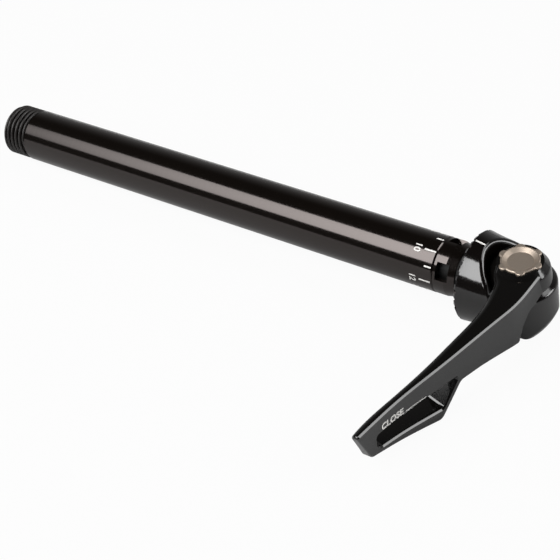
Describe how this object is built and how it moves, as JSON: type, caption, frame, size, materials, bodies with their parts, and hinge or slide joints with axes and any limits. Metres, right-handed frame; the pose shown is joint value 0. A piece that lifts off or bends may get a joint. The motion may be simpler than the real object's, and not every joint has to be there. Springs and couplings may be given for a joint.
{
  "type": "bicycle thru axle",
  "caption": "Front wheel thru axle: round tube threaded at one end, with a toothed clamp head, an expanding collet and a folding cam lever at the other.",
  "frame": {"origin": "on the axle's axis, in the plane of the tooth tips of the head's clamp face", "axes": "+X along the axle towards the lever, +Z along the lever's pivot, the closed lever pointing to -Y"},
  "size_m": [0.1803, 0.0796, 0.0241],
  "materials": {
    "tube_black": "gloss black anodised",
    "head_black": "gloss black anodised forging",
    "lever_black": "satin black anodised forging",
    "shaft_steel": "warm bright plated steel",
    "rod_steel": "zinc plated steel",
    "spring_steel": "oiled spring steel",
    "bush_bronze": "sintered bronze",
    "seal_rubber": "black nitrile rubber",
    "washer_plastic": "black acetal"
  },
  "bodies": {
    "axle": {"axle_tube": "tube_black", "anchor_insert": "rod_steel", "thrust_washer": "rod_steel", "expander_collet": "tube_black"},
    "rod": {"draw_rod": "rod_steel", "tension_nut": "rod_steel", "detent_ball": "rod_steel", "detent_spring": "spring_steel", "spring_seat": "rod_steel", "rod_clip": "spring_steel", "return_spring": "spring_steel"},
    "head": {"head_body": "head_black", "expander_cone": "tube_black", "sleeve_o_ring": "seal_rubber", "cam_bush_upper": "bush_bronze", "cam_bush_lower": "bush_bronze", "shaft_ring": "spring_steel", "ear_washer": "washer_plastic"},
    "lever": {"lever": "lever_black", "cam_shaft": "shaft_steel"}
  },
  "joints": [
    {"name": "index_turn", "type": "hinge", "parent": "axle", "child": "rod", "pos_m": [0, 0, 0], "axis": [1, 0, 0], "continuous": true},
    {"name": "head_slide", "type": "slide", "parent": "rod", "child": "head", "axis": [1, 0, 0], "range_m": [0, 0.00112], "deforming": ["return_spring"]},
    {"name": "lever_pivot", "type": "hinge", "parent": "head", "child": "lever", "pos_m": [0.01329, 0, 0], "axis": [0, 0, 1], "range_deg": [0, 150]}
  ],
  "couplings": [
    {"joint": "head_slide", "follows": "lever_pivot", "m_per_rad": 0.0004277}
  ]
}
